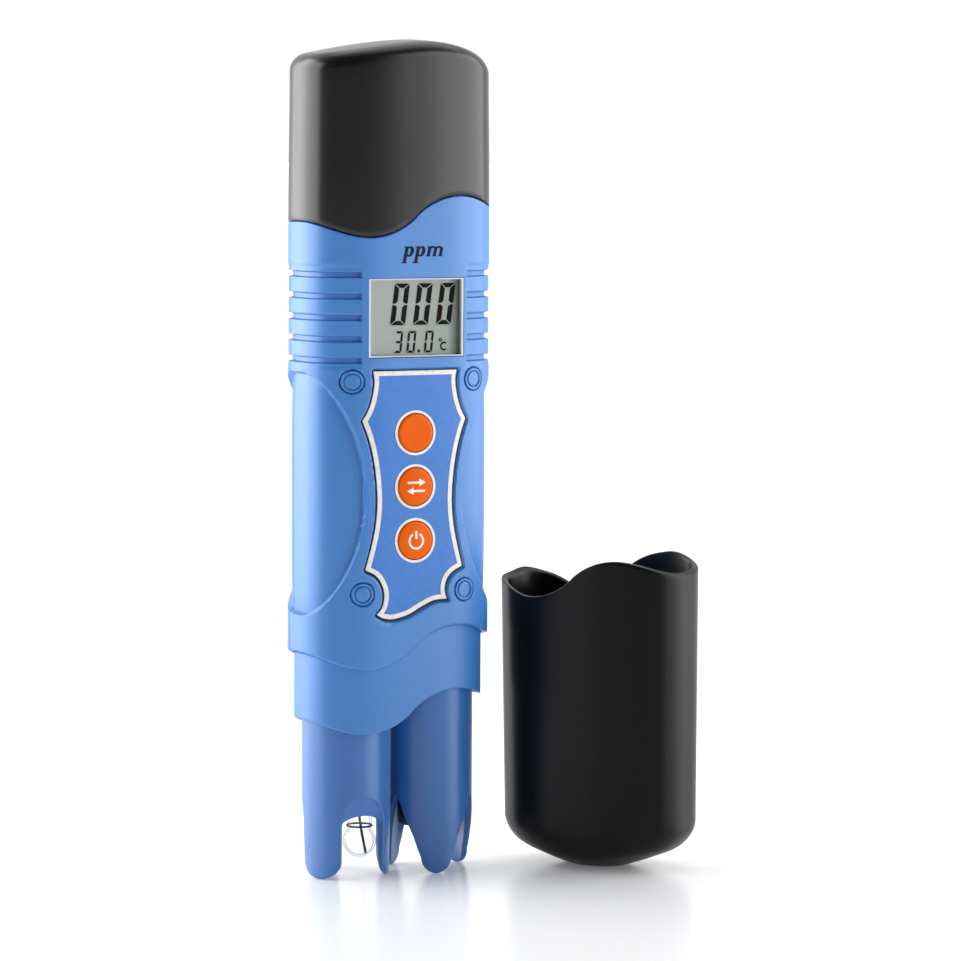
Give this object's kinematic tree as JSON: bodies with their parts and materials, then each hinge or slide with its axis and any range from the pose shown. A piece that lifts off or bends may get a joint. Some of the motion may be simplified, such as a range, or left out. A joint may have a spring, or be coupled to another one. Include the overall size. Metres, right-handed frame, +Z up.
{
  "type": "digital water tester",
  "caption": "Pen-type water tester: blue oval casing with display and keys, slide-off black battery cap, guarded pH and conductivity probes, loose protective cap.",
  "frame": {"origin": "centre of the bounding box of the meter and its protective cap, on the surface they stand on", "axes": "+Z up along the pen, from the probe tips to the battery cap; -Y is the side with the display and keys; +X towards the protective cap"},
  "size_m": [0.0898, 0.0492, 0.189],
  "materials": {
    "casing_blue": "satin moulded ABS, light edges",
    "cap_black": "fine satin moulded black",
    "panel_print": "printed polyester overlay, light border",
    "key_orange": "smooth satin orange",
    "bezel_light": "thin light trim",
    "window_clear": "clear lens",
    "display_grey": "reflective grey liquid crystal",
    "bulb_glass": "thin clear glass",
    "probe_black": "black moulded",
    "bulb_ring": "dark violet seal",
    "pin_steel": "fine turned",
    "screw_steel": "zinc plated",
    "cell_steel": "bright nickel",
    "contact_brass": "plated strip",
    "seal_rubber": "soft black",
    "lead_red": "insulated lead",
    "board_green": "solder mask",
    "chip_black": "moulded package",
    "holder_black": "moulded carrier",
    "zebra_pink": "layered elastomer"
  },
  "bodies": {
    "meter": {"front_shell": "casing_blue", "rear_shell": "casing_blue", "sensor_collar": "casing_blue", "ph_guard_tube": "casing_blue", "tds_guard_tube": "casing_blue", "battery_neck": "casing_blue", "screw_plug_upper_left": "casing_blue", "screw_plug_upper_right": "casing_blue", "screw_plug_lower_left": "casing_blue", "screw_plug_lower_right": "casing_blue", "membrane_overlay": "panel_print", "lcd_bezel": "bezel_light", "lcd_window": "window_clear", "lcd_display": "display_grey", "zebra_strip_upper": "zebra_pink", "zebra_strip_lower": "zebra_pink", "main_circuit_board": "board_green", "controller_chip": "chip_black", "buzzer": "chip_black", "dome_switch_select": "pin_steel", "dome_switch_mode": "pin_steel", "dome_switch_power": "pin_steel", "screw_upper_left": "screw_steel", "screw_upper_right": "screw_steel", "screw_lower_left": "screw_steel", "screw_lower_right": "screw_steel", "collar_o_ring": "seal_rubber", "battery_cap_o_ring": "seal_rubber", "ph_glass_bulb": "bulb_glass", "ph_reference_wire": "chip_black", "ph_bulb_collar": "bulb_ring", "ph_electrode_sleeve": "probe_black", "tds_probe_body": "probe_black", "tds_pin_left": "pin_steel", "tds_pin_right": "pin_steel", "temperature_sensor": "pin_steel", "battery_holder": "holder_black", "battery_spring": "contact_brass", "battery_contact": "contact_brass", "button_cell_1": "cell_steel", "button_cell_2": "cell_steel", "button_cell_3": "cell_steel", "button_cell_4": "cell_steel", "ph_lead": "seal_rubber", "tds_lead": "seal_rubber", "battery_lead_red": "lead_red", "battery_lead_black": "seal_rubber"},
    "battery_cap": {"battery_cap": "cap_black"},
    "select_key": {"key_select": "key_orange"},
    "mode_key": {"key_mode": "key_orange"},
    "power_key": {"key_power": "key_orange"},
    "protective_cap": {"protective_cap": "cap_black"}
  },
  "joints": [
    {"name": "battery_cap_pull", "type": "slide", "parent": "meter", "child": "battery_cap", "axis": [0, 0, 1], "range_m": [0, 0.045]},
    {"name": "select_press", "type": "slide", "parent": "meter", "child": "select_key", "axis": [0, 1, 0], "range_m": [0, 0.0004], "stiffness_N_per_m": 600, "springref_m": -0.0003},
    {"name": "mode_press", "type": "slide", "parent": "meter", "child": "mode_key", "axis": [0, 1, 0], "range_m": [0, 0.0004], "stiffness_N_per_m": 600, "springref_m": -0.0003},
    {"name": "power_press", "type": "slide", "parent": "meter", "child": "power_key", "axis": [0, 1, 0], "range_m": [0, 0.0004], "stiffness_N_per_m": 600, "springref_m": -0.0003},
    {"name": "protective_cap_lift", "type": "slide", "parent": "meter", "child": "protective_cap", "axis": [0, 0, 1], "range_m": [0, 0.1]}
  ]
}
